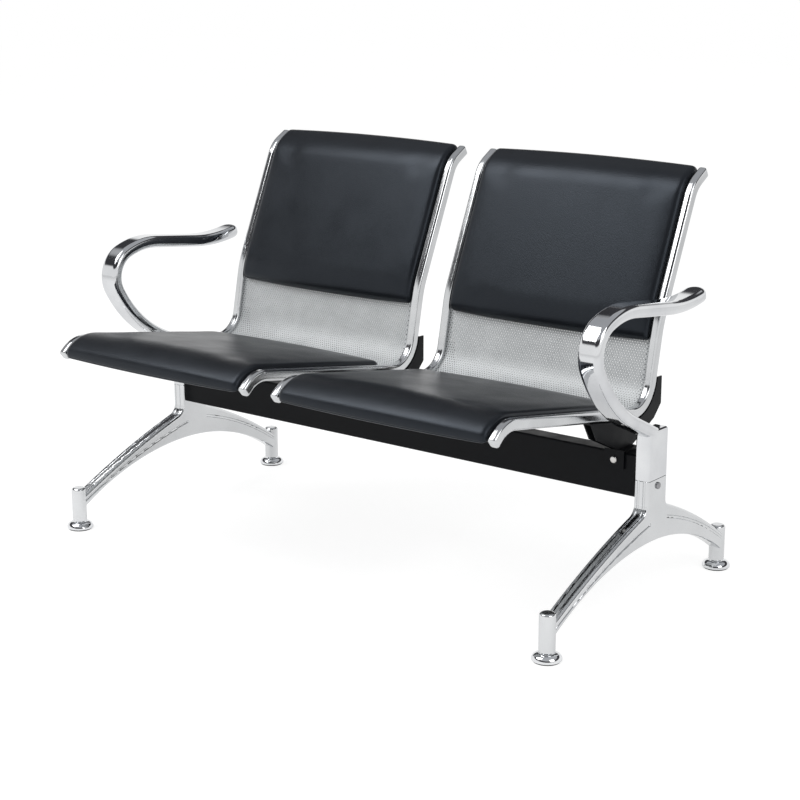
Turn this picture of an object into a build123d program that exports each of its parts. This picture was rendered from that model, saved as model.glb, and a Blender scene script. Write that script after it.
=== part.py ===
from build123d import *
from math import cos, radians, sin
import os

# Two-seat waiting-room bench: two padded seats on one beam between two cast legs with armrests.
# Millimetres. X runs along the bench, -Y is the front, Z is up, and the floor is at z = 0.
# Side views are drawn as (y, z) and then stood up in the YZ plane.

# Layout along the bench
seat_width = 496.0
seat_gap = 61.0
arm_gap = 32.0

# Side view of a seat: the rails' centre line, from the bend between seat and back
bend_y = 150.0
bend_z = 341.0
bend_radius = 62.0
seat_length = 470.0
seat_angle = 9.5
nose_length = 35.0
nose_angle = 40.0
nose_radius = 62.0
lumbar_length = 167.0
lumbar_angle = 11.7
lumbar_radius = 200.0
back_length = 266.0
back_angle = 24.2
flare_length = 41.0
flare_angle = 61.0
flare_radius = 60.0

# Seat rails, their end caps and the sheet between them
rail_width = 18.0
rail_depth = 22.0
rail_corner = 6.0
rail_wall = 1.5
cap_length = 8.0
cap_round = 5.0
cap_plug = 10.0
cap_clearance = 0.1
sheet_thickness = 1.5

# Pads and the boards inside them
pad_side_gap = 2.5
pad_gap = 0.3
pad_side_height = 10.0
pad_roll = 11.0
pad_shoulder = 18.0
pad_crown = 22.0
seat_pad_length = 402.0
seat_pad_inset = 4.0
back_pad_length = 318.0
back_pad_inset = 6.0
board_thickness = 5.0
board_inset = 24.0

# Screws that hold the boards through the sheet
pad_screw_radius = 2.0
pad_screw_head_radius = 5.0
pad_screw_head = 3.0
pad_screw_reach = 4.5
pad_screw_spread = 150.0
seat_screw_front = 90.0
seat_screw_rear = 320.0
back_screw_high = 46.0
back_screw_low = 206.0
screw_clearance = 0.1

# Beam and its end plates
beam_height = 80.0
beam_depth = 40.0
beam_wall = 2.5
beam_corner = 4.0
beam_z = 250.0
end_plate = 6.0

# Seat brackets: pressed channels under the rails that sit astride the beam
bracket_sheet = 3.0
bracket_reach = 216.0
bracket_rise = 66.0
bracket_chin_back = 29.0
bracket_chin_drop = 47.0
bracket_heel_out = 26.0
bracket_heel_drop = 52.0
bracket_heel_cut = 24.0
saddle_sheet = 5.0
saddle_width = 41.0
saddle_skirt = 30.0
bracket_bolt_radius = 4.0
bracket_bolt_drop = 14.0
bracket_bolt_head_radius = 7.0
bracket_bolt_head = 4.5
bracket_nut_width = 13.0
bracket_nut_height = 6.5
bracket_bolt_tail = 2.5
bolt_clearance = 0.25
rail_screw_radius = 2.5
rail_screw_head_radius = 4.5
rail_screw_head = 3.0
rail_screw_tail = 4.0
rail_screw_rear = 92.0
rail_screw_front = 178.0

# Legs
column_y = 66.0
column_width = 30.0
column_depth = 67.0
column_seam_z = 248.0
front_foot_y = -267.0
rear_foot_y = 332.0
arch_y = 46.0
arch_z = 130.0
front_arm_top_z = 188.0
front_arm_end_high = 69.0
front_arm_end_low = 43.0
front_top_bulge = 7.0
rear_arm_top_z = 193.0
rear_arm_end_high = 71.0
rear_arm_end_low = 36.0
rear_top_bulge = 8.0
arm_end_width = 28.0
front_crotch = 22.0
rear_crotch = 14.0
leg_round = 5.0
groove_radius = 2.4
groove_offset = 6.0
flank_groove_radius = 3.0
flank_groove_bulge = 11.0
front_flank_y = 44.0
front_flank_z = 165.0
front_flank_low_z = 58.0
rear_flank_y = 105.0
rear_flank_z = 166.0
rear_flank_low_z = 60.0
socket_radius = 15.0
socket_low_z = 18.0
socket_high_z = 88.0
socket_round = 5.0
spigot_height = 70.0
spigot_clearance = 0.2
spigot_headroom = 0.3
sleeve_wall = 6.0
seam_chamfer = 0.8

# Screws in the column: one from outside into the end plate, one from inside through the armrest's sleeve
leg_screw_radius = 4.0
leg_screw_head_radius = 6.5
leg_screw_head = 3.5
leg_screw_drop = 13.0
leg_screw_tail = 4.0
sleeve_screw_radius = 3.0
sleeve_screw_head_radius = 5.0
sleeve_screw_head = 2.5
sleeve_screw_reach = 14.0
sleeve_screw_rise = 56.0
sleeve_screw_set = 12.0

# Armrests: a flat bar with round corners that rises out of a sleeve on the column
sleeve_top_z = 340.0
sleeve_round = 5.0
arm_root_z = 330.2
arm_width = 45.0
arm_root_width = 28.0
arm_thickness = 25.0
arm_corner = 10.0
arm_root_angle = 24.7
arm_rise_run = 94.0
arm_rise_radius = 273.0
arm_rise_angle = 36.1
arm_front_radius = 55.0
arm_front_angle = 98.3
arm_crest_radius = 178.0
arm_crest_angle = 27.7
arm_rest_run = 119.0
arm_tip_radius = 369.0
arm_tip_angle = 17.4

# Levelling feet: a domed base that swivels on a threaded stem, with a plastic sole
sole_radius = 25.0
sole_height = 3.0
base_radius = 27.0
base_rim = 3.5
base_neck_radius = 9.5
base_neck = 3.5
foot_gap = 0.3
stem_radius = 5.0
stem_reach = 40.0
stem_seat = 6.0
stem_clearance = 0.05
bore_spare = 4.0

seat_pitch = seat_width + seat_gap
leg_spacing = seat_pitch + seat_width + 2 * arm_gap + arm_width
sides = {"left": -1, "right": 1}
os.makedirs("parts", exist_ok=True)


def save(shape, node):
    """Write one node; a list of solids becomes a group."""
    solids = Compound(children=shape) if isinstance(shape, list) else shape
    export_step(solids, f"parts/{node}.step")


def heading(angle):
    """Unit vector in the side view: 0 degrees points to the rear, 90 degrees up."""
    return Vector(cos(radians(angle)), sin(radians(angle)))


def solid_between(face, low, high):
    """Extrude a side-view face along X, from x = low to x = high."""
    return Pos(low, 0, 0) * extrude(Plane.YZ * face, high - low)


def rod_x(y, z, radius, low, high):
    """Cylinder along X between two places on the bench."""
    return solid_between(Pos(y, z) * Circle(radius), low, high)


def rod_y(x, z, radius, low, high):
    """Cylinder along Y between two places across the bench."""
    return Pos(0, high, 0) * extrude(Plane.XZ * (Pos(x, z) * Circle(radius)), high - low)


def rod_z(x, y, radius, low, high):
    """Upright cylinder between two heights."""
    return Pos(x, y, low) * extrude(Circle(radius), high - low)


# Seat line: corner points of the side view, from the top of the back to the nose
seat_way = heading(180 - seat_angle)
seat_up = heading(90 - seat_angle)
lumbar_way = heading(90 - lumbar_angle)
back_way = heading(90 - back_angle)
back_out = heading(180 - back_angle)
bend = Vector(bend_y, bend_z)
nose_corner = bend + seat_way * seat_length
nose_way = heading(180 + nose_angle)
nose_end = nose_corner + nose_way * nose_length
lumbar_corner = bend + lumbar_way * lumbar_length
flare_corner = lumbar_corner + back_way * back_length
flare_way = heading(90 - flare_angle)
top_end = flare_corner + flare_way * flare_length
seat_corners = [top_end, flare_corner, lumbar_corner, bend, nose_corner, nose_end]
seat_radii = [flare_radius, lumbar_radius, bend_radius, nose_radius]
rail_middle = seat_width / 2 - rail_width / 2
sheet_width = seat_width - 2 * rail_width
sheet_half = sheet_thickness / 2


def side_path(corners, radii):
    """Path in the YZ plane through the corners, rounded at each inner one."""
    return Plane.YZ * FilletPolyline(*corners, radius=radii)


def start_plane(path):
    """Section plane at a path's start: local x along X, local y to the sitter's side."""
    return Plane(path @ 0, x_dir=(1, 0, 0), z_dir=path % 0)


def run_along(path, section):
    """Carry a section, drawn about the path's start, along the path."""
    return sweep(start_plane(path) * section, path=path)


seat_line = side_path(seat_corners, seat_radii)


def band(path, width, low, high):
    """Strip of the seat's shape between two heights over the rails' centre line."""
    return run_along(path, Pos(0, (low + high) / 2) * Rectangle(width, high - low))


def seat_spot(distance, height):
    """Side-view point over the flat of the seat, a distance forward of the bend's corner."""
    return bend + seat_way * distance + seat_up * height


def back_spot(distance, height):
    """Side-view point over the flat of the back, a distance above the lumbar corner."""
    return lumbar_corner + back_way * distance + back_out * height


def rod_across(x, spot, radius, low, high):
    """Cylinder square to the seat or back, between two heights; spot gives its side-view points."""
    foot = spot(low)
    axis = spot(high) - foot
    plane = Plane((x, foot.X, foot.Y), z_dir=(0, axis.X, axis.Y))
    return extrude(plane * Circle(radius), high - low)


def pad_screw_spots():
    """Where the pad screws stand: side-view functions of height, seat first."""
    spots = []
    for distance in (seat_length - seat_screw_rear, seat_length - seat_screw_front):
        spots.append(lambda height, distance=distance: seat_spot(distance, height))
    for distance in (back_length - back_screw_low, back_length - back_screw_high):
        spots.append(lambda height, distance=distance: back_spot(distance, height))
    return spots


def rail_screw_spots():
    """Where the bracket's screws enter a rail: side-view functions of height."""
    spots = []
    for distance in (rail_screw_rear, rail_screw_front):
        spots.append(lambda height, distance=distance: seat_spot(distance, height))
    return spots


# Seat rails: rectangular tubes with rounded corners, holed below for the bracket's screws
def rail():
    outer = RectangleRounded(rail_width, rail_depth, rail_corner)
    inner = RectangleRounded(rail_width - 2 * rail_wall, rail_depth - 2 * rail_wall, rail_corner - rail_wall)
    tube = run_along(seat_line, outer - inner)
    for spot in rail_screw_spots():
        tube -= rod_across(0, spot, rail_screw_radius + screw_clearance, -rail_depth / 2 - 1, 0)
    return tube


def rail_cap(place, way):
    """Domed plug for a rail's end, pointing along way."""
    plane = Plane((0, place.X, place.Y), x_dir=(1, 0, 0), z_dir=(0, way.X, way.Y))
    dome = extrude(RectangleRounded(rail_width, rail_depth, rail_corner), cap_length)
    dome = fillet(dome.faces().sort_by(Axis.Z)[-1].edges(), cap_round)
    shrink = 2 * (rail_wall + cap_clearance)
    plug_outline = RectangleRounded(rail_width - shrink, rail_depth - shrink, rail_corner - shrink / 2)
    return plane * (dome + extrude(plug_outline, -cap_plug))


# Seat sheet: one steel sheet bent to the seat line, welded edge to edge between the rails
def seat_sheet():
    sheet = band(seat_line, sheet_width, -sheet_half, sheet_half)
    for spot in pad_screw_spots():
        for x in (-pad_screw_spread, pad_screw_spread):
            sheet -= rod_across(x, spot, pad_screw_radius + screw_clearance, -rail_depth, rail_depth)
    return sheet


# Pads: a crowned section carried along the seat line, with rolled ends, over a curved board
pad_foot = sheet_half + pad_gap
board_top = pad_foot + board_thickness
pad_width = sheet_width - 2 * pad_side_gap
board_width = pad_width - 2 * board_inset
seat_line_length = seat_line.length
seat_pad_start = seat_line_length - seat_pad_inset - seat_pad_length


def stretch(start, length):
    """Part of the seat line, from a distance below the top of the back."""
    return seat_line.trim(start / seat_line_length, (start + length) / seat_line_length)


seat_pad_line = stretch(seat_pad_start, seat_pad_length)
back_pad_line = stretch(back_pad_inset, back_pad_length)


def pad_section():
    """Cross-section of a pad: flat foot, upright sides, rolled shoulders and a crowned top."""
    half = pad_width / 2
    foot = Polyline((-half, pad_side_height), (-half, pad_foot), (half, pad_foot), (half, pad_side_height))
    right = TangentArc((half, pad_side_height), (half - pad_roll, pad_shoulder), tangent=(0, 1))
    left = TangentArc((-half, pad_side_height), (pad_roll - half, pad_shoulder), tangent=(0, 1))
    top = ThreePointArc((half - pad_roll, pad_shoulder), (0, pad_crown), (pad_roll - half, pad_shoulder))
    return make_face([foot, right, top, left])


def pad_end(path, place, turn):
    """Rolled end of a pad: its section turned about the foot's edge."""
    plane = Plane(path @ place, x_dir=(1, 0, 0), z_dir=path % place)
    hinge = plane.from_local_coords((0, pad_foot, 0))
    return revolve(plane * pad_section(), Axis(hinge, (1, 0, 0)), turn)


def board(path, spots):
    """Curved board under a pad, drilled for its screws."""
    plate = band(path, board_width, pad_foot, board_top)
    for spot in spots:
        for x in (-pad_screw_spread, pad_screw_spread):
            plate -= rod_across(x, spot, pad_screw_radius + screw_clearance, -rail_depth, rail_depth)
    return plate


def pad(path):
    """Foam and cover over a board, with the board's recess in its foot."""
    cushion = run_along(path, pad_section()) + pad_end(path, 0, -90) + pad_end(path, 1, 90)
    recess = band(path, board_width + 2 * pad_gap, 0, board_top + pad_gap)
    return cushion - recess


def pad_screws(x):
    """Screws of one seat's two boards, heads behind the sheet."""
    screws = []
    for spot in pad_screw_spots():
        for side in (-pad_screw_spread, pad_screw_spread):
            shank = rod_across(x + side, spot, pad_screw_radius, -sheet_half, sheet_half + pad_screw_reach)
            low = -sheet_half - pad_screw_head
            head = rod_across(x + side, spot, pad_screw_head_radius, low, -sheet_half)
            rim = head.faces().sort_by(Axis.Z)[0].edges()
            screws.append(shank + fillet(rim, pad_screw_head / 2))
    return screws


# Beam: rectangular tube with a plate across each end
beam_top = beam_z + beam_height / 2
beam_front = column_y - beam_depth / 2
beam_rear = column_y + beam_depth / 2
column_inner = leg_spacing / 2 - column_width / 2
beam_half = column_inner - end_plate
rail_places = {
    "left_outer": -seat_pitch / 2 - rail_middle,
    "left_inner": -seat_pitch / 2 + rail_middle,
    "right_inner": seat_pitch / 2 - rail_middle,
    "right_outer": seat_pitch / 2 + rail_middle,
}
bolt_z = beam_top - bracket_bolt_drop


def beam():
    outer = RectangleRounded(beam_depth, beam_height, beam_corner)
    inner = RectangleRounded(beam_depth - 2 * beam_wall, beam_height - 2 * beam_wall, beam_corner - beam_wall)
    tube = solid_between(Pos(column_y, beam_z) * (outer - inner), -beam_half, beam_half)
    for x in rail_places.values():
        tube -= rod_y(x, bolt_z, bracket_bolt_radius + bolt_clearance, beam_front - 1, beam_rear + 1)
    return tube


leg_screw_z = column_seam_z - leg_screw_drop


def beam_end():
    """Plate welded across the beam's right end, drilled for the leg's screw, about the leg's middle."""
    outline = RectangleRounded(beam_depth, beam_height, beam_corner)
    face = -column_width / 2
    plate = solid_between(Pos(column_y, beam_z) * outline, face - end_plate, face)
    plate -= rod_x(column_y, leg_screw_z, leg_screw_radius + screw_clearance, -column_width, column_width)
    return plate


# Seat bracket: a channel whose flange lies under a rail, welded to a saddle on the beam
def bracket():
    front = bend + seat_way * bracket_reach
    top = bend + lumbar_way * bracket_rise
    chin = front + Vector(bracket_chin_back, -bracket_chin_drop)
    foot_z = beam_top + saddle_sheet
    foot_front = Vector(beam_front - saddle_sheet, foot_z)
    foot_rear = Vector(beam_rear + saddle_sheet, foot_z)
    heel_top = top + Vector(bracket_heel_out, 0)
    heel_low = heel_top - Vector(0, bracket_heel_drop)
    heel_cut = heel_low + Vector(-bracket_heel_cut, -bracket_heel_cut)
    under = FilletPolyline(top, bend, front, radius=bend_radius)
    outline = Polyline(front, chin, foot_front, foot_rear, heel_cut, heel_low, heel_top, top)
    face = make_face([under, outline])
    flange_top = -rail_depth / 2
    over_flange = band(seat_line, 2 * rail_width, flange_top, bend_radius / 2)
    over_channel = band(seat_line, 2 * rail_width, flange_top - bracket_sheet, bend_radius / 2)
    half = rail_width / 2
    channel = solid_between(face, -half, half) - over_flange
    channel -= solid_between(face, bracket_sheet - half, half - bracket_sheet) - over_channel
    for spot in rail_screw_spots():
        channel -= rod_across(0, spot, rail_screw_radius + screw_clearance, -rail_depth, 0)
    return channel + saddle()


def saddle():
    """Folded strap over the beam's top, with a skirt down its front and rear."""
    depth = beam_depth + 2 * saddle_sheet
    height = saddle_skirt + saddle_sheet
    strap = Pos(column_y, beam_top + saddle_sheet - height / 2) * Rectangle(depth, height)
    strap -= Pos(column_y, beam_z) * Rectangle(beam_depth, beam_height)
    fold = solid_between(strap, -saddle_width / 2, saddle_width / 2)
    return fold - rod_y(0, bolt_z, bracket_bolt_radius + bolt_clearance, -column_depth, 3 * column_depth)


def bracket_bolt(x):
    """Domed bolt through the saddle and the beam."""
    front = beam_front - saddle_sheet
    rear = beam_rear + saddle_sheet + bracket_nut_height + bracket_bolt_tail
    head = rod_y(x, bolt_z, bracket_bolt_head_radius, front - bracket_bolt_head, front)
    head = fillet(head.faces().sort_by(Axis.Y)[0].edges(), bracket_bolt_head * 0.7)
    return head + rod_y(x, bolt_z, bracket_bolt_radius, front, rear)


def bracket_nut(x):
    """Hexagon nut behind the saddle."""
    rear = beam_rear + saddle_sheet
    hexagon = RegularPolygon(bracket_nut_width / 2, 6, major_radius=False)
    hexagon -= Circle(bracket_bolt_radius + stem_clearance)
    nut = extrude(Plane.XZ * (Pos(x, bolt_z) * hexagon), bracket_nut_height)
    return Pos(0, rear + bracket_nut_height, 0) * nut


def bracket_screws(x):
    """Screws from inside a bracket's channel up into the rail."""
    screws = []
    seat = -rail_depth / 2 - bracket_sheet
    for spot in rail_screw_spots():
        shank = rod_across(x, spot, rail_screw_radius, seat, -rail_depth / 2 + rail_wall + rail_screw_tail)
        head = rod_across(x, spot, rail_screw_head_radius, seat - rail_screw_head, seat)
        screws.append(shank + head)
    return screws


# Leg: an arched casting with a column, two foot sockets and a spigot for the armrest
column_front = column_y - column_depth / 2
column_rear = column_y + column_depth / 2
pocket_width = column_width - 2 * sleeve_wall
pocket_depth = column_depth - 2 * sleeve_wall
foot_ys = {"front": front_foot_y, "rear": rear_foot_y}
front_top = SagittaArc((front_foot_y, front_arm_end_high), (column_front, front_arm_top_z), front_top_bulge)
rear_top = SagittaArc((column_rear, rear_arm_top_z), (rear_foot_y, rear_arm_end_high), rear_top_bulge)
front_flank = SagittaArc((front_foot_y, front_flank_low_z), (front_flank_y, front_flank_z), flank_groove_bulge)
rear_flank = SagittaArc((rear_flank_y, rear_flank_z), (rear_foot_y, rear_flank_low_z), flank_groove_bulge)
front_arch = TangentArc((arch_y, arch_z), (front_foot_y, front_arm_end_low), tangent=(-1, 0))
rear_arch = TangentArc((arch_y, arch_z), (rear_foot_y, rear_arm_end_low), tangent=(1, 0))


def leg_outline():
    """Side view of the leg up to the seam, with rounded crotches beside the column."""
    front_end = Line(front_arch @ 1, front_top @ 0)
    column = Polyline(front_top @ 1, (column_front, column_seam_z), (column_rear, column_seam_z), rear_top @ 0)
    rear_end = Line(rear_top @ 1, rear_arch @ 1)
    face = make_face([front_end, front_top, column, rear_top, rear_end, rear_arch, front_arch])
    face = fillet(face.vertices().sort_by_distance(front_top @ 1)[0], front_crotch)
    return fillet(face.vertices().sort_by_distance(rear_top @ 0)[0], rear_crotch)


def upper_edge(y_low, y_high, z_low):
    """Stretch of the leg's outline over one arm: the arm's top, the crotch and the column's side."""
    edges = []
    slack = 0.3
    for edge in leg_outline().edges():
        box = edge.bounding_box()
        if box.min.X > y_low - slack and box.max.X < y_high + slack and box.min.Y > z_low:
            edges.append(edge)
    return Wire(edges)


def leg_plan():
    """Plan view of the leg: full width at the column, drawn in towards both feet."""
    half = column_width / 2
    half_end = arm_end_width / 2
    front = column_front - front_crotch
    rear = column_rear + rear_crotch
    flank = Line((half, front), (half, rear))
    to_rear = TangentArc((half, rear), (half_end, rear_foot_y), tangent=(0, 1))
    to_front = TangentArc((half, front), (half_end, front_foot_y), tangent=(0, -1))
    ends = [Line((0, front_foot_y), (half_end, front_foot_y)), Line((0, rear_foot_y), (half_end, rear_foot_y))]
    middle = Line((0, front_foot_y), (0, rear_foot_y))
    half_plan = make_face([middle, *ends, flank, to_rear, to_front])
    return half_plan + mirror(half_plan, about=Plane.YZ)


def arm_grooves(path):
    """Two rounded grooves along an arm's top and up the column."""
    line = Plane.YZ * path
    groove = run_along(line, Circle(groove_radius))
    return [Pos(-groove_offset, 0, 0) * groove, Pos(groove_offset, 0, 0) * groove]


def flank_grooves(line, start):
    """Rounded grooves along both flanks of an arm, with a round start at the column."""
    groove = run_along(Plane.YZ * line, Circle(flank_groove_radius))
    groove += Pos(0, start.X, start.Y) * Sphere(flank_groove_radius)
    half = column_width / 2
    return [Pos(-half, 0, 0) * groove, Pos(half, 0, 0) * groove]


def foot_socket(y):
    """Round socket at the end of an arm."""
    post = rod_z(0, y, socket_radius, socket_low_z, socket_high_z)
    return fillet(post.faces().sort_by(Axis.Z)[-1].edges(), socket_round)


def leg():
    """Right-hand leg, about its own middle."""
    casting = solid_between(leg_outline(), -column_width, column_width)
    casting &= extrude(leg_plan(), column_seam_z)
    across = casting.faces().sort_by(Axis.Y)
    ends = [across[0], across[-1], casting.faces().sort_by(Axis.Z)[-1]]
    walls = [face for face in casting.faces() if abs(face.normal_at().X) < 0.5 and face not in ends]
    rims = [edge for face in walls for edge in face.edges() if abs((edge % 0.5).X) < 0.5]
    casting = fillet(rims, leg_round)
    casting = chamfer(casting.faces().sort_by(Axis.Z)[-1].edges(), seam_chamfer)
    front_edge = upper_edge(front_foot_y, column_front, front_arm_end_low)
    rear_edge = upper_edge(column_rear, rear_foot_y, rear_arm_end_low)
    for groove in arm_grooves(front_edge) + arm_grooves(rear_edge):
        casting -= groove
    for groove in flank_grooves(front_flank, front_flank @ 1) + flank_grooves(rear_flank, rear_flank @ 0):
        casting -= groove
    for y in foot_ys.values():
        casting += foot_socket(y)
        casting -= rod_z(0, y, stem_radius + stem_clearance, 0, socket_low_z + stem_reach + bore_spare)
    shrink = 2 * spigot_clearance
    spigot = RectangleRounded(pocket_width - shrink, pocket_depth - shrink, sleeve_wall / 2)
    casting += Pos(0, column_y, column_seam_z) * extrude(spigot, spigot_height)
    casting -= rod_x(column_y, leg_screw_z, leg_screw_radius + screw_clearance, -column_width, column_width)
    half = column_width / 2
    hole = sleeve_screw_radius + screw_clearance
    return casting - rod_x(sleeve_screw_y, sleeve_screw_z, hole, -half - 1, sleeve_screw_reach + 1 - half)


def column_screw(y, z, radius, reach, head_radius, head):
    """Round-headed screw driven into the column's outer face, about the leg's middle."""
    face = column_width / 2
    shank = rod_x(y, z, radius, face - reach, face)
    button = rod_x(y, z, head_radius, face, face + head)
    return shank + fillet(button.faces().sort_by(Axis.X)[-1].edges(), 0.6 * head)


# Armrest: a sleeve over the spigot, with a bar that loops forward, up and back
sleeve_screw_y = column_y - sleeve_screw_set
sleeve_screw_z = column_seam_z + sleeve_screw_rise


def bar_section(width):
    return RectangleRounded(width, arm_thickness, arm_corner)


def arm_tip(loop):
    """Round tongue at the loop's end: half the section turned about its short axis."""
    end = Plane(loop @ 1, x_dir=(1, 0, 0), z_dir=loop % 1)
    half = bar_section(arm_width) & Pos(-arm_width / 2, 0) * Rectangle(arm_width, arm_thickness)
    return revolve(end * half, Axis(end.origin, end.y_dir), 180)


def arm_bar():
    """Looped bar: a widening rise out of the sleeve, then arcs to the tip."""
    root = Vector(column_y, arm_root_z)
    way = heading(180 - arm_root_angle)
    rise = Plane.YZ * Line(root, root + way * arm_rise_run)
    low = JernArc(root + way * arm_rise_run, way, arm_rise_radius, -arm_rise_angle)
    front = JernArc(low @ 1, low % 1, arm_front_radius, -arm_front_angle)
    crest = JernArc(front @ 1, front % 1, arm_crest_radius, -arm_crest_angle)
    rest = Line(crest @ 1, crest @ 1 + (crest % 1) * arm_rest_run)
    tip = JernArc(rest @ 1, rest % 1, arm_tip_radius, arm_tip_angle)
    loop = Plane.YZ * Wire([low, front, crest, rest, tip])
    bar = run_along(loop, bar_section(arm_width))
    root_end = start_plane(rise) * bar_section(arm_root_width)
    return bar + arm_tip(loop) + loft([root_end, start_plane(loop) * bar_section(arm_width)])


def armrest():
    """Right-hand armrest, about its leg's middle."""
    outline = RectangleRounded(column_width, column_depth, leg_round)
    sleeve = extrude(outline, sleeve_top_z - column_seam_z)
    sleeve = fillet(sleeve.faces().sort_by(Axis.Z)[-1].edges(), sleeve_round)
    sleeve = chamfer(sleeve.faces().sort_by(Axis.Z)[0].edges(), seam_chamfer)
    casting = Pos(0, column_y, column_seam_z) * sleeve + arm_bar()
    pocket_outline = RectangleRounded(pocket_width, pocket_depth, sleeve_wall / 2)
    pocket = extrude(pocket_outline, spigot_height + spigot_headroom)
    casting -= Pos(0, column_y, column_seam_z) * pocket
    half = column_width / 2
    hole = sleeve_screw_radius + screw_clearance
    return casting - rod_x(sleeve_screw_y, sleeve_screw_z, hole, -half - 1, 0)


# Levelling foot: a domed base on a plastic sole, swivelling on a threaded stem
base_neck_top = socket_low_z - foot_gap
stem_low_z = base_neck_top - stem_seat


def foot_base(x, y):
    rim_z = sole_height + base_rim
    neck_z = base_neck_top - base_neck
    bore = stem_radius + stem_clearance
    foot = Line((0, sole_height), (base_radius, sole_height))
    rim = Line((base_radius, sole_height), (base_radius, rim_z))
    dome = TangentArc((base_radius, rim_z), (base_neck_radius, neck_z), tangent=(-0.35, 1))
    top = base_neck_top
    neck = Polyline((base_neck_radius, neck_z), (base_neck_radius, top), (0, top), (0, sole_height))
    turned = revolve(Plane.XZ * make_face([foot, rim, dome, neck]), Axis.Z)
    return Pos(x, y, 0) * turned - rod_z(x, y, bore, stem_low_z, base_neck_top + 1)


def foot_stem(x, y):
    return rod_z(x, y, stem_radius, stem_low_z, socket_low_z + stem_reach)


def foot_sole(x, y):
    disc = rod_z(x, y, sole_radius, 0, sole_height)
    return chamfer(disc.faces().sort_by(Axis.Z)[0].edges(), sole_height / 3)


def both_sides(right_hand):
    """Left and right copies of a piece that is modelled for the right leg about x = 0."""
    right = Pos(leg_spacing / 2, 0, 0) * right_hand
    return {"left": mirror(right, about=Plane.YZ), "right": right}


# The seats, seat by seat
rail_shape = rail()
shell_shape = seat_sheet()
bracket_shape = bracket()
seat_pad_shape = pad(seat_pad_line)
back_pad_shape = pad(back_pad_line)
screw_spots = pad_screw_spots()
seat_board_shape = board(seat_pad_line, screw_spots[:2])
back_board_shape = board(back_pad_line, screw_spots[2:])
all_pad_screws = []
for name, side in sides.items():
    middle = Pos(side * seat_pitch / 2, 0, 0)
    save(middle * shell_shape, f"seat_shell_{name}")
    save(middle * seat_pad_shape, f"seat_pad_{name}")
    save(middle * back_pad_shape, f"back_pad_{name}")
    save(middle * seat_board_shape, f"seat_board_{name}")
    save(middle * back_board_shape, f"back_board_{name}")
    all_pad_screws += pad_screws(side * seat_pitch / 2)
save(all_pad_screws, "pad_screws")

caps = []
rail_screws = []
for name, x in rail_places.items():
    save(Pos(x, 0, 0) * rail_shape, f"rail_{name}")
    save(Pos(x, 0, 0) * bracket_shape, f"bracket_{name}")
    caps.append(Pos(x, 0, 0) * rail_cap(top_end, flare_way))
    caps.append(Pos(x, 0, 0) * rail_cap(nose_end, nose_way))
    rail_screws += bracket_screws(x)
save(caps, "rail_end_caps")
save(rail_screws, "bracket_rail_screws")
save([bracket_bolt(x) for x in rail_places.values()], "bracket_bolts")
save([bracket_nut(x) for x in rail_places.values()], "bracket_nuts")

# The frame: beam, legs, armrests and feet
save(beam(), "beam")
end_plates = both_sides(beam_end())
legs = both_sides(leg())
armrests = both_sides(armrest())
leg_screw_reach = column_width + end_plate + leg_screw_tail
leg_screw = column_screw(
    column_y, leg_screw_z, leg_screw_radius, leg_screw_reach, leg_screw_head_radius, leg_screw_head
)
sleeve_screw = column_screw(
    sleeve_screw_y, sleeve_screw_z, sleeve_screw_radius,
    sleeve_screw_reach, sleeve_screw_head_radius, sleeve_screw_head)
sleeve_screw = mirror(sleeve_screw, about=Plane.YZ)
save(list(both_sides(leg_screw).values()), "leg_screws")
save(list(both_sides(sleeve_screw).values()), "armrest_screws")
for name, side in sides.items():
    save(end_plates[name], f"beam_end_plate_{name}")
    save(legs[name], f"leg_{name}")
    save(armrests[name], f"armrest_{name}")
    for end, y in foot_ys.items():
        x = side * leg_spacing / 2
        save(foot_base(x, y), f"foot_base_{name}_{end}")
        save(foot_stem(x, y), f"foot_stem_{name}_{end}")
        save(foot_sole(x, y), f"foot_sole_{name}_{end}")
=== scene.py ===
from math import radians

import bmesh
import bpy
import numpy as np
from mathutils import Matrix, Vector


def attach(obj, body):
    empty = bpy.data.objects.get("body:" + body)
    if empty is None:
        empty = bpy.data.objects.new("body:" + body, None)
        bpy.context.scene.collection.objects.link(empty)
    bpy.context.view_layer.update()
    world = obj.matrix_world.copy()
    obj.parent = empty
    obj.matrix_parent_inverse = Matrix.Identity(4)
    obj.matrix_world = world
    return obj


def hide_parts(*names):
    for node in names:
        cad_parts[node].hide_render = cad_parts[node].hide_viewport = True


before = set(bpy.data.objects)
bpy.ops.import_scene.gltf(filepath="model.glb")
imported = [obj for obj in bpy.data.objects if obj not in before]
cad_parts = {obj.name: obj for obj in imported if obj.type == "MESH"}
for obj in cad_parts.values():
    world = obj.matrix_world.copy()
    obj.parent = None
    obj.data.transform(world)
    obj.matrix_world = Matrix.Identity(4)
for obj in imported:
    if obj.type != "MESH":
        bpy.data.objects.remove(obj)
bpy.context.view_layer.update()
scene = bpy.context.scene


# Beam and end plates: a rectangular steel tube along the bench, closed by a welded plate at each
# end. Both are phosphated and stoved with satin black powder, which leaves a fine orange peel.
def node(tree, kind, inputs=None, **settings):
    """One shader node: settings are its properties, inputs (by name or place) are values or sockets."""
    made = tree.nodes.new("ShaderNode" + kind)
    for name, value in settings.items():
        setattr(made, name, value)
    for name, value in (inputs or {}).items():
        if isinstance(value, bpy.types.NodeSocket):
            tree.links.new(value, made.inputs[name])
        else:
            made.inputs[name].default_value = value
    return made


def math_output(tree, operation, first, second=0.0):
    """The output of one Math node on sockets or numbers."""
    return node(tree, "Math", {0: first, 1: second}, operation=operation).outputs[0]


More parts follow.
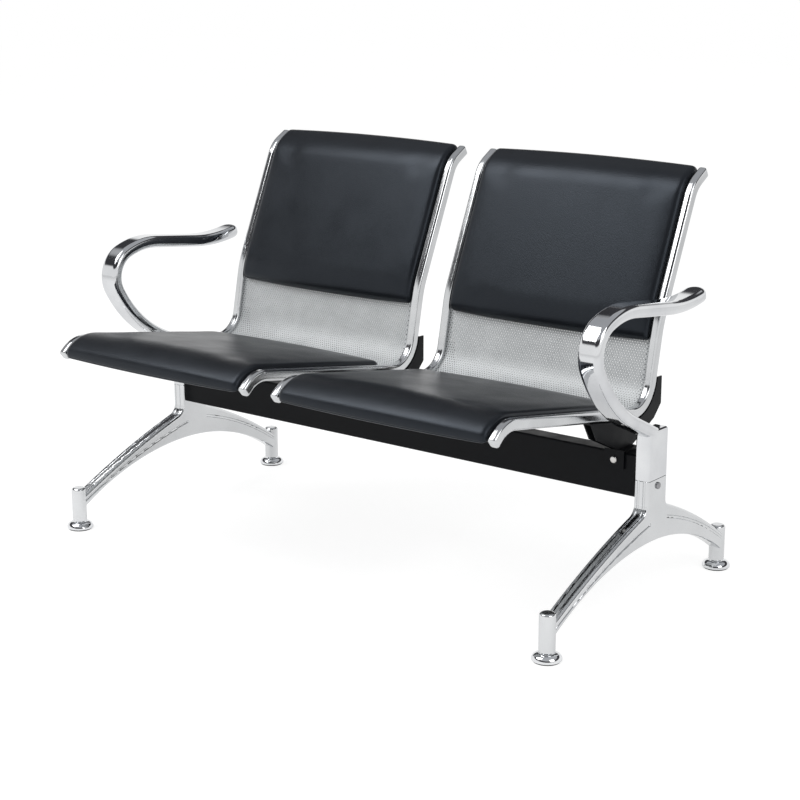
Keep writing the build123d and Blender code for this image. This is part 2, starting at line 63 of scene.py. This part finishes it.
grain = bpy.data.node_groups.new("surface_grain", "ShaderNodeTree")
for name, end, kind in (("Vector", "INPUT", "Vector"), ("Grain Scale", "INPUT", "Float"),
                        ("Cloud Scale", "INPUT", "Float"), ("Grain", "OUTPUT", "Float"),
                        ("Cloud", "OUTPUT", "Float")):
    grain.interface.new_socket(name, in_out=end, socket_type="NodeSocket" + kind)
way_in = grain.nodes.new("NodeGroupInput")
way_out = grain.nodes.new("NodeGroupOutput")
for name, detail in (("Grain", 3.0), ("Cloud", 5.0)):
    noise = node(grain, "TexNoise", {"Vector": way_in.outputs["Vector"], "Detail": detail,
                                     "Scale": way_in.outputs[name + " Scale"]})
    grain.links.new(noise.outputs["Fac"], way_out.inputs[name])


def finish(name, dark, light, rough, metal, scales, bump, stretch=(1.0, 1.0, 1.0)):
    """A worked surface: grain makes the bump, cloud runs colour from dark to light and gloss over rough.

    scales are grain and cloud per metre, bump is the grain's height in metres, and stretch
    multiplies the coordinates, so that a small number draws the grain out along that axis.
    """
    material = bpy.data.materials.new(name)
    material.use_nodes = True
    tree = material.node_tree
    shader = tree.nodes["Principled BSDF"]
    place = node(tree, "TexCoord")
    stretched = node(tree, "Mapping", {"Vector": place.outputs["Object"], "Scale": stretch})
    worked = node(tree, "Group", {"Vector": stretched.outputs[0], "Grain Scale": scales[0],
                                  "Cloud Scale": scales[1]}, node_tree=grain)
    cloud_range = {"Value": worked.outputs["Cloud"], "From Min": 0.3, "From Max": 0.7}
    spread = node(tree, "MapRange", cloud_range)
    tone = node(tree, "Mix", {0: spread.outputs[0], "A": (*dark, 1.0), "B": (*light, 1.0)}, data_type="RGBA")
    gloss = node(tree, "MapRange", {**cloud_range, "To Min": rough[0], "To Max": rough[1]})
    relief = node(tree, "Bump", {"Height": worked.outputs["Grain"], "Distance": bump, "Strength": 1.0})
    tree.links.new(tone.outputs["Result"], shader.inputs["Base Color"])
    tree.links.new(gloss.outputs[0], shader.inputs["Roughness"])
    tree.links.new(relief.outputs[0], shader.inputs["Normal"])
    shader.inputs["Metallic"].default_value = metal
    return material


def dress(material, *starts):
    """Puts a material into the slots of every CAD node whose name begins with one of the words."""
    for name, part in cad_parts.items():
        if name.startswith(starts):
            if not part.material_slots:
                part.data.materials.append(None)
            for place in part.material_slots:
                place.material = material


powder_coat = finish("powder_coat", dark=(0.0025, 0.003, 0.004), light=(0.005, 0.0055, 0.007),
                     rough=(0.36, 0.50), metal=0.0, scales=(900.0, 30.0), bump=0.00008)
powder_coat.node_tree.nodes["Principled BSDF"].inputs["Specular IOR Level"].default_value = 0.12
dress(powder_coat, "beam")


# Legs: sand-cast aluminium columns with an arched arm to each foot, fettled and polished by hand
# along the arms, with grooves down each arm's top and flanks. A screw holds each to its end plate.
cast_polish = finish("cast_polish", dark=(0.62, 0.63, 0.64), light=(0.74, 0.75, 0.76), rough=(0.08, 0.14),
                     metal=1.0, scales=(120.0, 16.0), bump=0.000003, stretch=(1.0, 0.35, 0.35))
dress(cast_polish, "leg_left", "leg_right")


# Feet: pressed steel bases with a chromed dome, on a zinc-plated threaded stem that screws into
# the leg's socket, with a black moulded sole that keeps metal off the floor.
chrome = finish("chrome", dark=(0.74, 0.75, 0.77), light=(0.82, 0.83, 0.84), rough=(0.04, 0.09),
                metal=1.0, scales=(260.0, 9.0), bump=0.00001)
dress(chrome, "foot_base")
sole_plastic = finish("sole_plastic", dark=(0.016, 0.016, 0.017), light=(0.028, 0.028, 0.029),
                      rough=(0.5, 0.65), metal=0.0, scales=(1400.0, 60.0), bump=0.00010)
dress(sole_plastic, "foot_sole")
thread_pitch = 0.0015
thread_depth = 0.0003
stem_steel = finish("stem_steel", dark=(0.50, 0.50, 0.49), light=(0.63, 0.62, 0.60), rough=(0.22, 0.36),
                    metal=1.0, scales=(800.0, 90.0), bump=0.00003)
tree = stem_steel.node_tree
height = node(tree, "SeparateXYZ", {"Vector": node(tree, "TexCoord").outputs["Object"]})
phase = math_output(tree, "MULTIPLY", height.outputs["Z"], 2 * np.pi / thread_pitch)
thread = node(tree, "Bump", {"Height": math_output(tree, "SINE", phase), "Distance": thread_depth,
                             "Strength": 1.0, "Normal": tree.nodes["Bump"].outputs[0]})
tree.links.new(thread.outputs[0], tree.nodes["Principled BSDF"].inputs["Normal"])
dress(stem_steel, "foot_stem")


# Armrests: die-cast loops on a sleeve that slides over the column's spigot and is held by a
# set screw. They are ground, buffed and chromed to a mirror.
mirror = finish("mirror_chrome", dark=(0.60, 0.61, 0.63), light=(0.74, 0.75, 0.76), rough=(0.05, 0.11),
                metal=1.0, scales=(180.0, 12.0), bump=0.00002)
dress(mirror, "armrest_left", "armrest_right")


# Brackets and their bolts: pressed channels under each rail, welded to a saddle astride the beam
# and coated like it. Domed stainless bolts pass through saddle and beam to nuts behind. The screws
# in the columns and sleeves are plain steel, and those up into the rails and boards zinc-plated.
dress(powder_coat, "bracket_left", "bracket_right")
stainless = finish("stainless", dark=(0.56, 0.55, 0.53), light=(0.66, 0.65, 0.64), rough=(0.16, 0.30),
                   metal=1.0, scales=(700.0, 120.0), bump=0.00002)
dress(stainless, "bracket_bolts", "bracket_nuts")
plain_steel = finish("plain_steel", dark=(0.24, 0.24, 0.25), light=(0.36, 0.36, 0.37), rough=(0.24, 0.40),
                     metal=1.0, scales=(700.0, 160.0), bump=0.00003)
dress(plain_steel, "leg_screws", "armrest_screws")
zinc = finish("zinc_plate", dark=(0.46, 0.46, 0.45), light=(0.60, 0.60, 0.57), rough=(0.24, 0.40),
              metal=1.0, scales=(600.0, 150.0), bump=0.00003)
dress(zinc, "bracket_rail_screws", "pad_screws")


# Rails and caps: round-cornered rectangular steel tubes bent to the seat's side view, from the nose
# round to the top of the back, bright chromed, with a rounded plated plug driven into each open end.
rail_chrome = finish("rail_chrome", dark=(0.55, 0.56, 0.57), light=(0.66, 0.67, 0.68), rough=(0.12, 0.18),
                     metal=1.0, scales=(320.0, 14.0), bump=0.000004)
dress(rail_chrome, "rail_left", "rail_right", "rail_end_caps")


# Boards: curved beech plywood inside the pads, screwed to the sheet from behind. The face grain
# runs across the seat.
plywood = finish("plywood", dark=(0.36, 0.23, 0.12), light=(0.52, 0.36, 0.21), rough=(0.55, 0.72),
                 metal=0.0, scales=(420.0, 40.0), bump=0.00006, stretch=(0.06, 1.0, 1.0))
dress(plywood, "seat_board", "back_board")


# Seat sheets: one perforated steel sheet a seat, rolled to the rails' line and welded between them,
# then coated silver. Between the pads the bare strip shows its rows of round holes. The line has
# five runs: flare, back, lumbar, seat and nose, and the bend lies between the lumbar and the seat.
bend = np.array([0.150, 0.341])
run_lengths = np.array([0.041, 0.266, 0.167, 0.470, 0.035])
run_headings = np.radians([209.0, 245.8, 258.3, 170.5, 220.0])
corner_radii = np.array([0.060, 0.200, 0.062, 0.062])
runs_above_bend = 3
line_samples = 9501
corner_turns = np.diff(run_headings)
tangents = corner_radii * np.tan(np.abs(corner_turns) / 2)
straights = run_lengths - np.append(0.0, tangents) - np.append(tangents, 0.0)
pieces_of_line = np.zeros(len(run_lengths) + len(corner_radii))
pieces_of_line[0::2] = straights
pieces_of_line[1::2] = corner_radii * np.abs(corner_turns)
line_breaks = np.append(0.0, np.cumsum(pieces_of_line))
line_length = line_breaks[-1]
fine_way = np.linspace(0.0, line_length, line_samples)
fine_heading = np.interp(fine_way, line_breaks, np.repeat(run_headings, 2))
fine_steps = np.stack([np.cos(fine_heading), np.sin(fine_heading)], -1)
fine_line = np.zeros((line_samples, 2))
fine_line[1:] = np.cumsum((fine_steps[1:] + fine_steps[:-1]) / 2, 0) * (fine_way[1] - fine_way[0])
run_ways = np.stack([np.cos(run_headings), np.sin(run_headings)], -1)
fine_line += bend - (run_lengths[:runs_above_bend, None] * run_ways[:runs_above_bend]).sum(0)


def seat_point(way, off):
    """Side-view point (y, z) and heading at a distance way down the seat's line, off towards the sitter.

    The line's heading is constant on each straight and turns evenly on each arc; its points are
    the running sum of (cos, sin) of the heading. Off is laid along (sin, -cos) of that heading.
    """
    angle = np.interp(way, fine_way, fine_heading)
    y = np.interp(way, fine_way, fine_line[:, 0]) + off * np.sin(angle)
    z = np.interp(way, fine_way, fine_line[:, 1]) - off * np.cos(angle)
    return y, z, angle


def grid_quads(corner):
    """Quads between the neighbouring rows and columns of a grid of point numbers."""
    return np.stack([corner[:-1, :-1], corner[:-1, 1:], corner[1:, 1:], corner[1:, :-1]], -1)


def make_piece(name, points, faces, uv, material):
    """A mesh object from points (n, 3), quads (m, 4) and a UV pair for each point, doubles merged."""
    mesh = bpy.data.meshes.new(name)
    mesh.from_pydata(points.tolist(), [], faces.tolist())
    mesh.uv_layers.new(name="surface").data.foreach_set("uv", uv[faces.ravel()].ravel())
    shape = bmesh.new()
    shape.from_mesh(mesh)
    bmesh.ops.remove_doubles(shape, verts=shape.verts, dist=1e-6)
    bmesh.ops.recalc_face_normals(shape, faces=shape.faces)
    shape.to_mesh(mesh)
    shape.free()
    mesh.shade_smooth()
    mesh.materials.append(material)
    piece = bpy.data.objects.new(name, mesh)
    scene.collection.objects.link(piece)
    return piece


seat_centre = 0.2785
sheet_width = 0.460
sheet_thickness = 0.0015
sheet_margin = 0.006
sheet_fold = radians(40)
hole_radius = 0.00115
holes_across = 80
hole_rows = 38
row_share = 0.866
strip_start = 0.338
lines_above_strip = 28
lines_below_strip = 36
hole_pitch = (sheet_width - 2 * sheet_margin) / holes_across
row_pitch = hole_pitch * row_share
strip_end = strip_start + hole_rows * row_pitch


def holed_grid():
    """The sheet laid flat: each point's way down it and place across it, its quads and its open edges.

    In the strip the grid's lines lie half a pitch apart, so a hole has a cell of two by two. The hole
    is an octagon: from the cell's middle, hole_radius along the way to each of the cell's eight outer
    points. Eight quads join it to them. Every second row is shifted by half a pitch, one hole fewer.
    """
    across = np.concatenate([[-sheet_width / 2],
                             (np.arange(2 * holes_across + 1) - holes_across) * hole_pitch / 2,
                             [sheet_width / 2]])
    above = np.linspace(0.0, strip_start, lines_above_strip)
    below = np.linspace(strip_end, line_length, lines_below_strip)
    along = np.concatenate([above, strip_start + np.arange(1, 2 * hole_rows) * row_pitch / 2, below])
    first_row = len(above) - 1
    strip_lines = np.arange(2 * hole_rows)

    corner = np.arange(len(along) * len(across)).reshape(len(along), len(across))
    quads = grid_quads(corner)
    plain = np.ones(quads.shape[:2], bool)
    plain[first_row + strip_lines, 1:-1] = False
    shifted = first_row + strip_lines[strip_lines // 2 % 2 == 1]
    plain[shifted, 1] = True
    plain[shifted, -2] = True

    even_row, even_column = np.meshgrid(first_row + 1 + strip_lines[::4],
                                        2 + 2 * np.arange(holes_across), indexing="ij")
    odd_row, odd_column = np.meshgrid(first_row + 3 + strip_lines[::4],
                                      3 + 2 * np.arange(holes_across - 1), indexing="ij")
    hole_row = np.append(even_row, odd_row)
    hole_column = np.append(even_column, odd_column)
    ring_row = np.array([-1, -1, -1, 0, 1, 1, 1, 0])
    ring_column = np.array([-1, 0, 1, 1, 1, 0, -1, -1])
    ring = corner[hole_row[:, None] + ring_row, hole_column[:, None] + ring_column]
    reach = np.hypot(ring_row * row_pitch, ring_column * hole_pitch)
    hole_way = along[hole_row][:, None] + hole_radius * ring_row * row_pitch / reach
    hole_across = across[hole_column][:, None] + hole_radius * ring_column * hole_pitch / reach
    rim = corner.size + np.arange(hole_way.size).reshape(hole_way.shape)
    next_rim = np.roll(rim, -1, 1)
    cell_quads = np.stack([ring, np.roll(ring, -1, 1), next_rim, rim], -1).reshape(-1, 4)

    border = np.concatenate([corner[0], corner[1:, -1], corner[-1, -2::-1], corner[-2::-1, 0]])
    edges = np.concatenate([np.stack([border[:-1], border[1:]], -1),
                            np.stack([rim, next_rim], -1).reshape(-1, 2)])
    grid_way = np.append(np.repeat(along, len(across)), hole_way)
    grid_across = np.append(np.tile(across, len(along)), hole_across)
    return grid_way, grid_across, np.concatenate([quads[plain], cell_quads]), edges


flat_way, flat_across, face_quads, open_edges = holed_grid()
count = len(flat_way)
sheet_faces = np.concatenate([face_quads, face_quads[:, ::-1] + count,
                              np.concatenate([open_edges, open_edges[:, ::-1] + count], 1)])
used, sheet_faces = np.unique(sheet_faces, return_inverse=True)
sheet_faces = sheet_faces.reshape(-1, 4)
sheet_way = np.tile(flat_way, 2)
sheet_across = np.tile(flat_across, 2)
two_sides = np.repeat([sheet_thickness / 2, -sheet_thickness / 2], count)
sheet_y, sheet_z, _ = seat_point(sheet_way, two_sides)
sheet_uv = np.stack([sheet_across / hole_pitch + holes_across / 2,
                     (sheet_way - strip_start) / row_pitch], -1)[used]

# Under the pads and behind them the same holes are drawn by the coat, on the UV's lattice, as near-black
# dots: painted shade and the dark pad bottom seen through each hole
silver = finish("silver_coat", dark=(0.54, 0.56, 0.57), light=(0.62, 0.64, 0.65), rough=(0.44, 0.54),
                metal=0.1, scales=(1200.0, 25.0), bump=0.00003)
hole_shade_and_pad = (0.03, 0.03, 0.032, 1.0)
hole_reach = hole_radius / hole_pitch
rim_inside = 0.92
rim_outside = 1.04
tree = silver.node_tree
lattice = node(tree, "SeparateXYZ", {"Vector": node(tree, "UVMap", uv_map="surface").outputs[0]})
odd = math_output(tree, "FLOORED_MODULO", math_output(tree, "FLOOR", lattice.outputs["Y"]), 2.0)
row_shift = math_output(tree, "MULTIPLY", odd, 0.5)
cell_x = math_output(tree, "FRACT", math_output(tree, "ADD", lattice.outputs["X"], row_shift))
cell_y = math_output(tree, "FRACT", lattice.outputs["Y"])
side_x = math_output(tree, "SUBTRACT", cell_x, 0.5)
side_y = math_output(tree, "MULTIPLY", math_output(tree, "SUBTRACT", cell_y, 0.5), row_pitch / hole_pitch)
squared = math_output(tree, "ADD", math_output(tree, "MULTIPLY", side_x, side_x),
                      math_output(tree, "MULTIPLY", side_y, side_y))
from_middle = math_output(tree, "SQRT", squared)
painted_hole_mask = node(tree, "MapRange", {"Value": from_middle, "From Min": rim_inside * hole_reach,
                                    "From Max": rim_outside * hole_reach, "To Min": 1.0, "To Max": 0.0})
coat = tree.nodes["Mix"]
# Painted shade: the near-black dots of the holes are mixed over the coat's colour
painted_holes = node(tree, "Mix", {0: painted_hole_mask.outputs[0], "A": coat.outputs["Result"], "B": hole_shade_and_pad},
             data_type="RGBA")
tree.links.new(painted_holes.outputs["Result"], tree.nodes["Principled BSDF"].inputs["Base Color"])

for side, sign in (("left", -1), ("right", 1)):
    sheet_points = np.stack([sheet_across + sign * seat_centre, sheet_y, sheet_z], -1)[used]
    sheet = make_piece("seat_sheet_" + side, sheet_points, sheet_faces, sheet_uv, silver)
    sheet.data.set_sharp_from_angle(angle=sheet_fold)
    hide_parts("seat_shell_" + side)
    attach(sheet, "bench")


# Pads: charcoal leatherette sewn round foam, with a side panel seamed to the top panel all round.
# They are pulled over the boards and held from behind. Each is swelled by a cloth pressure run.
pad_half = 0.2275
pad_foot = 0.00105
pad_side = 0.0098
pad_roll = 0.0110
pad_shoulder = 0.0177
pad_crown = 0.0217
crown_rise = pad_crown - pad_foot
seam_height = 0.0072
seam_half = 0.0011
seam_depth = 0.0010
roll_steps = 6
crown_steps = 72
end_steps = 5
station_pitch = 0.006

side_height = pad_foot + np.array([0.0, 0.5 * seam_height, seam_height - seam_half, seam_height,
                                   seam_height + seam_half])
side_inset = np.array([0.0, 0.0, 0.0, seam_depth, 0.0])
roll_turn = np.linspace(0.0, np.pi / 2, roll_steps)[1:]
crown_across = np.linspace(pad_roll - pad_half, pad_half - pad_roll, crown_steps)[1:-1]
left_across = np.concatenate([side_inset - pad_half, pad_roll * (1 - np.cos(roll_turn)) - pad_half])
left_height = np.concatenate([side_height, pad_side + (pad_shoulder - pad_side) * np.sin(roll_turn)])
section_across = np.concatenate([left_across, crown_across, -left_across[::-1]])
crown_height = pad_crown - (pad_crown - pad_shoulder) * (crown_across / (pad_half - pad_roll)) ** 2
section_height = np.concatenate([left_height, crown_height, left_height[::-1]]) - pad_foot
section_girth = np.append(0.0, np.cumsum(np.hypot(np.diff(section_across), np.diff(section_height))))
section_girth -= section_girth[-1] / 2

leather = finish("leatherette", dark=(0.0058, 0.0066, 0.0084), light=(0.0086, 0.0097, 0.0120),
                 rough=(0.29, 0.37), metal=0.0, scales=(260.0, 14.0), bump=0.00006)
tree = leather.node_tree
skin = tree.nodes["Principled BSDF"]
skin.inputs["Specular IOR Level"].default_value = 0.34
skin.inputs["Specular Tint"].default_value = (0.74, 0.85, 1.0, 1.0)
pebbles = node(tree, "TexVoronoi", {"Vector": node(tree, "TexCoord").outputs["Object"], "Scale": 620.0})
pebbled = node(tree, "Bump", {"Height": pebbles.outputs["Distance"], "Distance": 0.00016, "Strength": 0.8,
                              "Normal": tree.nodes["Bump"].outputs[0]}, invert=True)
from_seams = node(tree, "SeparateXYZ", {"Vector": node(tree, "UVMap", uv_map="surface").outputs[0]})
nearest_seam = math_output(tree, "MINIMUM", math_output(tree, "ABSOLUTE", from_seams.outputs["X"]),
                           math_output(tree, "ABSOLUTE", from_seams.outputs["Y"]))
seam = node(tree, "MapRange", {"Value": nearest_seam, "From Min": 0.0002, "From Max": 0.0012,
                               "To Min": 1.0, "To Max": 0.0}, interpolation_type="SMOOTHSTEP")
drawn = node(tree, "Bump", {"Height": seam.outputs[0], "Distance": 0.0004, "Strength": 1.0,
                            "Normal": pebbled.outputs[0]}, invert=True)
tree.links.new(drawn.outputs[0], skin.inputs["Normal"])


def make_pad(name, start, length):
    """A closed pad on the seat's line: a section of sides, quarter rolls and a crown, run from start.

    Across, the section is upright sides, quarter ellipses and a parabola. Along, it stands on the
    line's normal, and at each end it is turned a quarter circle about its foot line. Rings under
    the pad lie flat on the foot and close it. The UV holds the distances to the two seams.
    """
    seam_turn = np.arccos(seam_height / crown_rise)
    seam_spread = seam_half / crown_rise
    quarter = np.concatenate([np.linspace(0.0, seam_turn - seam_spread, end_steps)[1:],
                              [seam_turn, seam_turn + seam_spread, np.pi / 2]])
    quarter_sink = np.where(quarter == seam_turn, seam_depth, 0.0)
    stations = np.linspace(start, start + length, int(length / station_pitch))
    ring_way = np.concatenate([np.full(len(quarter), start), stations,
                               np.full(len(quarter), start + length), stations[::-1]])
    ring_turn = np.concatenate([-quarter[::-1], 0 * stations, quarter, 0 * stations])
    ring_sink = np.concatenate([quarter_sink[::-1], 0 * stations, quarter_sink, 0 * stations])
    ring_rise = np.concatenate([np.ones(2 * len(quarter) + len(stations)), 0 * stations])
    foot_y, foot_z, angle = seat_point(ring_way, pad_foot)
    lean = angle[:, None] + np.zeros(len(section_across))
    rise = ring_rise[:, None] * np.maximum(section_height - ring_sink[:, None], 0.0)
    turn = ring_turn[:, None]
    y = foot_y[:, None] + rise * (np.cos(turn) * np.sin(lean) + np.sin(turn) * np.cos(lean))
    z = foot_z[:, None] + rise * (-np.cos(turn) * np.cos(lean) + np.sin(turn) * np.sin(lean))
    flat = np.linspace(-pad_half, pad_half, len(section_across))
    x = np.where(ring_rise[:, None] > 0, section_across, flat) - seat_centre
    points = np.stack([x, y, z], -1).reshape(-1, 3)
    rings, columns = x.shape
    corner = np.arange(rings * columns).reshape(rings, columns)
    faces = grid_quads(np.concatenate([corner, corner[:1]])).reshape(-1, 4)
    beyond = crown_rise * seam_turn
    ring_place = ring_way + crown_rise * ring_turn
    end_seam = np.minimum(ring_place - start + beyond, start + length + beyond - ring_place)
    side_seam = section_girth[-1] - seam_height - np.abs(section_girth)
    uv = np.stack([np.tile(side_seam, rings), np.repeat(end_seam, columns)], -1)
    pad = make_piece(name, points, faces, uv, leather)
    swell(pad, start, length)
    smooth = pad.modifiers.new("smooth", "SUBSURF")
    smooth.levels = smooth.render_levels = 1
    return pad


swell_cap = 0.0025
swell_frames = 20
pinned_lift = 0.0006
foot_samples = 600
evening_rounds = 14


def swell(pad, start, length):
    """Blows the pad up as cloth with its foot pinned; each point keeps its outward move, up to the cap.

    The kept moves are evened out by averaging each with its neighbours' a few times.
    """
    mesh = pad.data
    rest = np.zeros(len(mesh.vertices) * 3)
    mesh.vertices.foreach_get("co", rest)
    rest = rest.reshape(-1, 3)
    y, z, angle = seat_point(np.linspace(start, start + length, foot_samples), pad_foot)
    gap = rest[:, None, 1:] - np.stack([y, z], -1)
    nearest = np.argmin((gap ** 2).sum(-1), 1)
    picked = gap[np.arange(len(rest)), nearest]
    lift = picked[:, 0] * np.sin(angle[nearest]) - picked[:, 1] * np.cos(angle[nearest])
    pinned = lift < pinned_lift
    foot = pad.vertex_groups.new(name="foot")
    foot.add(np.flatnonzero(pinned).tolist(), 1.0, "REPLACE")
    cloth = pad.modifiers.new("cloth", "CLOTH")
    cloth.settings.quality = 6
    cloth.settings.mass = 0.3
    cloth.settings.tension_stiffness = 30.0
    cloth.settings.compression_stiffness = 30.0
    cloth.settings.bending_stiffness = 4.0
    cloth.settings.use_pressure = True
    cloth.settings.uniform_pressure_force = 4.0
    cloth.settings.vertex_group_mass = "foot"
    cloth.settings.effector_weights.gravity = 0.0
    cloth.collision_settings.use_collision = False
    cloth.point_cache.frame_start = 1
    cloth.point_cache.frame_end = swell_frames
    for number in range(1, swell_frames + 1):
        scene.frame_set(number)
    grown = pad.evaluated_get(bpy.context.evaluated_depsgraph_get()).data
    moved = np.zeros(len(rest) * 3)
    grown.vertices.foreach_get("co", moved)
    outward = np.zeros(len(rest) * 3)
    mesh.vertex_normals.foreach_get("vector", outward)
    outward = outward.reshape(-1, 3)
    swelling = np.clip(((moved.reshape(-1, 3) - rest) * outward).sum(1), 0.0, swell_cap)
    ends = np.zeros(len(mesh.edges) * 2, int)
    mesh.edges.foreach_get("vertices", ends)
    ends = np.concatenate([ends.reshape(-1, 2), ends.reshape(-1, 2)[:, ::-1]])
    neighbours = np.bincount(ends[:, 0], minlength=len(rest))
    for _ in range(evening_rounds):
        total = np.bincount(ends[:, 0], swelling[ends[:, 1]], len(rest))
        swelling = np.where(pinned, 0.0, 0.5 * swelling + 0.5 * total / neighbours)
    pad.modifiers.remove(cloth)
    mesh.vertices.foreach_set("co", (rest + outward * swelling[:, None]).ravel())
    mesh.update()
    scene.frame_set(1)


seat_pad_length = 0.402
seat_pad_inset = 0.004
seat_pad_start = line_length - seat_pad_inset - seat_pad_length
back_pad_length = 0.318
back_pad_start = 0.006
pad_runs = {"seat": (seat_pad_start, seat_pad_length), "back": (back_pad_start, back_pad_length)}
for kind, (start, length) in pad_runs.items():
    left_pad = make_pad(kind + "_cushion_left", start, length)
    right_pad = left_pad.copy()
    right_pad.data = left_pad.data.copy()
    right_pad.name = kind + "_cushion_right"
    places = np.zeros(len(left_pad.data.vertices) * 3)
    left_pad.data.vertices.foreach_get("co", places)
    places[0::3] *= -1
    right_pad.data.vertices.foreach_set("co", places)
    right_pad.data.flip_normals()
    scene.collection.objects.link(right_pad)
    for pad, side in ((left_pad, "left"), (right_pad, "right")):
        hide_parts(kind + "_pad_" + side)
        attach(pad, "bench")


# Studio: a pale floor, a large soft lamp high at the front left, a weaker one at the right, and a
# white room with a dark band under its ceiling that the plated metal reflects.
floor_half = 12.0
floor_seen_glow = 0.64
floor_mirrored_glow = 0.42
floor_mesh = bpy.data.meshes.new("floor")
floor_mesh.from_pydata([(-floor_half, -floor_half, 0.0), (floor_half, -floor_half, 0.0),
                        (floor_half, floor_half, 0.0), (-floor_half, floor_half, 0.0)], [], [(0, 1, 2, 3)])
floor = bpy.data.objects.new("floor", floor_mesh)
scene.collection.objects.link(floor)
floor_white = bpy.data.materials.new("floor_white")
floor_white.use_nodes = True
tree = floor_white.node_tree
tree.nodes.remove(tree.nodes["Principled BSDF"])
paint = node(tree, "BsdfDiffuse", {"Color": (0.85, 0.85, 0.85, 1.0)})
glow = node(tree, "Emission", {"Color": (1.0, 1.0, 1.0, 1.0), "Strength": 1.30})
path = node(tree, "LightPath")
straight = math_output(tree, "MAXIMUM", path.outputs["Is Camera Ray"], path.outputs["Is Transmission Ray"])
seen = math_output(tree, "MAXIMUM", math_output(tree, "MULTIPLY", straight, floor_seen_glow),
                   math_output(tree, "MULTIPLY", path.outputs["Is Glossy Ray"], floor_mirrored_glow))
blend = node(tree, "MixShader", {"Fac": seen, 1: paint.outputs[0], 2: glow.outputs[0]})
tree.links.new(blend.outputs[0], tree.nodes["Material Output"].inputs["Surface"])
floor_mesh.materials.append(floor_white)

room_white = (1.0, 1.0, 1.0, 1.0)
room_band = (0.05, 0.05, 0.055, 1.0)
room_ceiling = (0.45, 0.46, 0.48, 1.0)
room = bpy.data.worlds.new("room")
scene.world = room
room.use_nodes = True
tree = room.node_tree
path = node(tree, "LightPath")
direction = node(tree, "SeparateXYZ", {"Vector": node(tree, "TexCoord").outputs["Generated"]})
over = node(tree, "MapRange", {"Value": direction.outputs["Z"], "From Min": 0.34, "From Max": 0.42},
            interpolation_type="SMOOTHSTEP")
under = node(tree, "MapRange", {"Value": direction.outputs["Z"], "From Min": 0.74, "From Max": 0.64},
             interpolation_type="SMOOTHSTEP")
in_band = math_output(tree, "MULTIPLY", over.outputs[0], under.outputs[0])
in_band = math_output(tree, "MULTIPLY", in_band, path.outputs["Is Glossy Ray"])
wall = node(tree, "Mix", {0: in_band, "A": room_white, "B": room_band}, data_type="RGBA")
above_band = math_output(tree, "MULTIPLY", math_output(tree, "SUBTRACT", over.outputs[0], under.outputs[0]),
                         path.outputs["Is Glossy Ray"])
above_band = math_output(tree, "MAXIMUM", above_band, 0.0)
lit = node(tree, "Mix", {0: above_band, "A": wall.outputs["Result"], "B": room_ceiling}, data_type="RGBA")
direct = math_output(tree, "ADD", path.outputs["Is Camera Ray"], path.outputs["Is Transmission Ray"])
direct = math_output(tree, "ADD", direct, path.outputs["Is Glossy Ray"])
level = node(tree, "MapRange", {"Value": direct, "To Min": 0.55, "To Max": 1.0})
background = tree.nodes["Background"]
tree.links.new(lit.outputs["Result"], background.inputs["Color"])
tree.links.new(level.outputs[0], background.inputs["Strength"])


def lamp(name, place, aim, size, watts):
    """A square soft lamp at a place, turned to face a point."""
    data = bpy.data.lights.new(name, "AREA")
    data.size = size
    data.energy = watts
    made = bpy.data.objects.new(name, data)
    made.location = place
    made.rotation_euler = (Vector(aim) - Vector(place)).to_track_quat("-Z", "Y").to_euler()
    scene.collection.objects.link(made)


lamp("key", place=(-1.6, -1.6, 3.4), aim=(0.0, 0.0, 0.4), size=2.2, watts=75.0)
lamp("fill", place=(3.0, -0.6, 2.4), aim=(0.0, 0.0, 0.4), size=1.8, watts=26.0)

camera_dip = 14.612
camera_turn = 37.847
camera_data = bpy.data.cameras.new("camera")
camera_data.lens = 83.24
camera_data.sensor_width = 36.0
camera = bpy.data.objects.new("camera", camera_data)
camera.location = (2.1945, -2.7530, 1.2311)
camera.rotation_euler = (radians(90 - camera_dip), 0.0, radians(camera_turn))
scene.collection.objects.link(camera)
scene.camera = camera
scene.view_settings.view_transform = "Standard"
